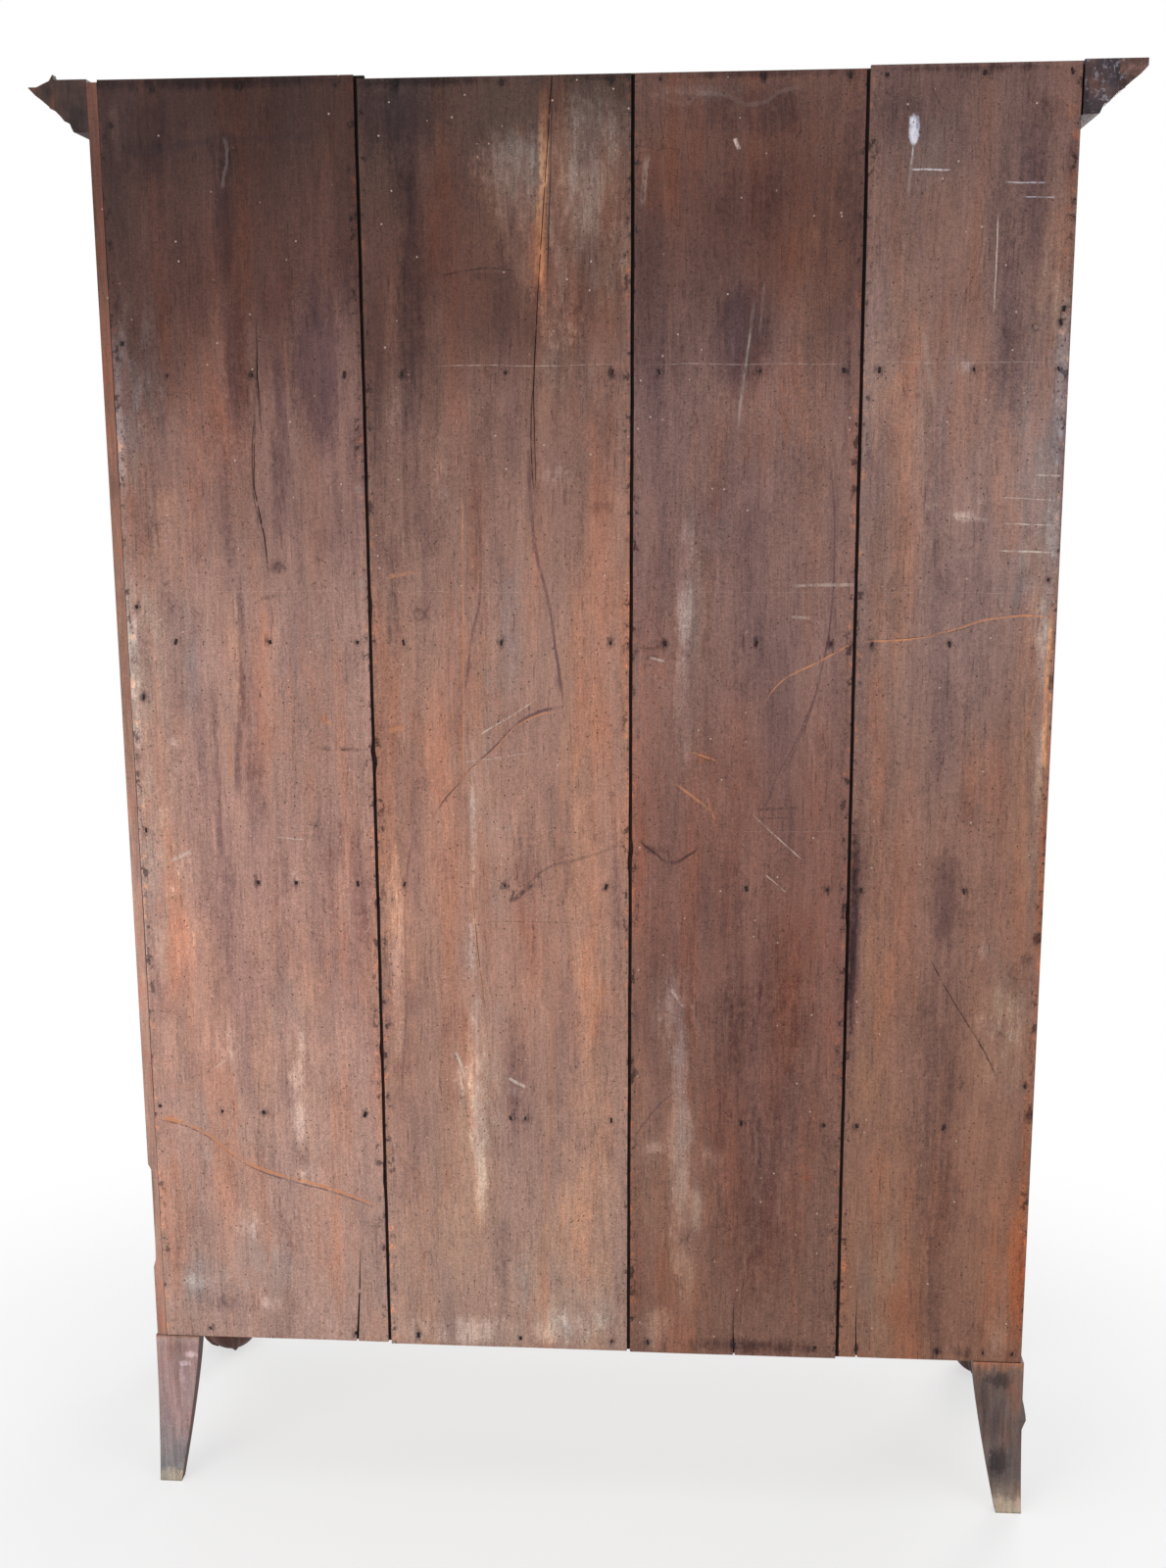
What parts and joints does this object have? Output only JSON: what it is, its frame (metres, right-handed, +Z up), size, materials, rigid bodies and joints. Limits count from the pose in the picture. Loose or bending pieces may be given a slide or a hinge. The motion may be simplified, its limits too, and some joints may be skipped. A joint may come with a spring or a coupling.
{
  "type": "china cabinet",
  "caption": "Tall wooden china cabinet on legs with two glazed doors, inner shelves, glazed sides, a deep cornice, a boarded back and claw feet in front.",
  "frame": {"origin": "on the floor under the middle of the overall box", "axes": "+Z up; -Y is the front with the doors, +Y is the boarded back; +X is the right side seen from the front"},
  "size_m": [1.436, 0.478, 2.0285],
  "materials": {
    "polished_wood": "old French polish, satin",
    "rear_post_wood": "stained, dull and worn",
    "back_board_wood": "raw boards with an old thin stain, dull",
    "inside_wood": "oiled, dull",
    "brass": "aged brass",
    "iron": "dark old iron",
    "glass": "clear window glass"
  },
  "bodies": {
    "case": {"rear_post_left": "rear_post_wood", "rear_post_right": "rear_post_wood", "front_post_left": "polished_wood", "front_post_right": "polished_wood", "front_leg_left": "polished_wood", "front_leg_right": "polished_wood", "left_side_rails": "polished_wood", "right_side_rails": "polished_wood", "left_side_panel": "polished_wood", "right_side_panel": "polished_wood", "left_side_glass": "glass", "right_side_glass": "glass", "left_side_glazing_bars": "polished_wood", "right_side_glazing_bars": "polished_wood", "top_board": "inside_wood", "bottom_board": "inside_wood", "shelf_1": "inside_wood", "shelf_2": "inside_wood", "shelf_3": "inside_wood", "shelf_4": "inside_wood", "shelf_cleats": "inside_wood", "frieze_rail": "polished_wood", "bottom_rail": "polished_wood", "base_moulding_front": "polished_wood", "base_moulding_left": "polished_wood", "base_moulding_right": "polished_wood", "cornice_core_front": "polished_wood", "cornice_core_left": "polished_wood", "cornice_core_right": "polished_wood", "cornice_crown_front": "polished_wood", "cornice_crown_left": "polished_wood", "cornice_crown_right": "polished_wood", "back_board_1": "back_board_wood", "back_board_2": "back_board_wood", "back_board_3": "back_board_wood", "back_board_4": "back_board_wood", "back_nails": "iron", "case_hinge_leaves": "brass", "hinge_pins": "brass", "bolt_keepers": "brass"},
    "left_door": {"left_door_stiles": "polished_wood", "left_door_rails": "polished_wood", "left_door_glazing_bars": "polished_wood", "left_door_glass": "glass", "left_door_panel": "polished_wood", "left_door_hinge_leaves": "brass", "left_door_bolt_guides": "brass"},
    "right_door": {"right_door_stiles": "polished_wood", "right_door_rails": "polished_wood", "right_door_glazing_bars": "polished_wood", "right_door_glass": "glass", "right_door_panel": "polished_wood", "right_door_hinge_leaves": "brass", "right_door_lock_case": "brass", "escutcheon": "brass"},
    "top_bolt": {"top_bolt": "iron"},
    "bottom_bolt": {"bottom_bolt": "iron"},
    "lock_bolt": {"lock_bolt": "brass"},
    "key": {"key": "iron"}
  },
  "joints": [
    {"name": "left_door_hinge", "type": "hinge", "parent": "case", "child": "left_door", "pos_m": [-0.5795, -0.167, 1], "axis": [0, 0, 1], "range_deg": [-110, 0]},
    {"name": "right_door_hinge", "type": "hinge", "parent": "case", "child": "right_door", "pos_m": [0.5795, -0.167, 1], "axis": [0, 0, 1], "range_deg": [0, 110]},
    {"name": "top_bolt_slide", "type": "slide", "parent": "left_door", "child": "top_bolt", "axis": [0, 0, 1], "range_m": [0, 0.015]},
    {"name": "bottom_bolt_slide", "type": "slide", "parent": "left_door", "child": "bottom_bolt", "axis": [0, 0, -1], "range_m": [0, 0.015]},
    {"name": "key_turn", "type": "hinge", "parent": "right_door", "child": "key", "pos_m": [0.0315, -0.15, 1.055], "axis": [0, 1, 0], "range_deg": [0, 180]},
    {"name": "lock_bolt_slide", "type": "slide", "parent": "right_door", "child": "lock_bolt", "axis": [-1, 0, 0], "range_m": [0, 0.016]}
  ],
  "couplings": [
    {"joint": "lock_bolt_slide", "follows": "key_turn", "m_per_rad": 0.004456}
  ]
}
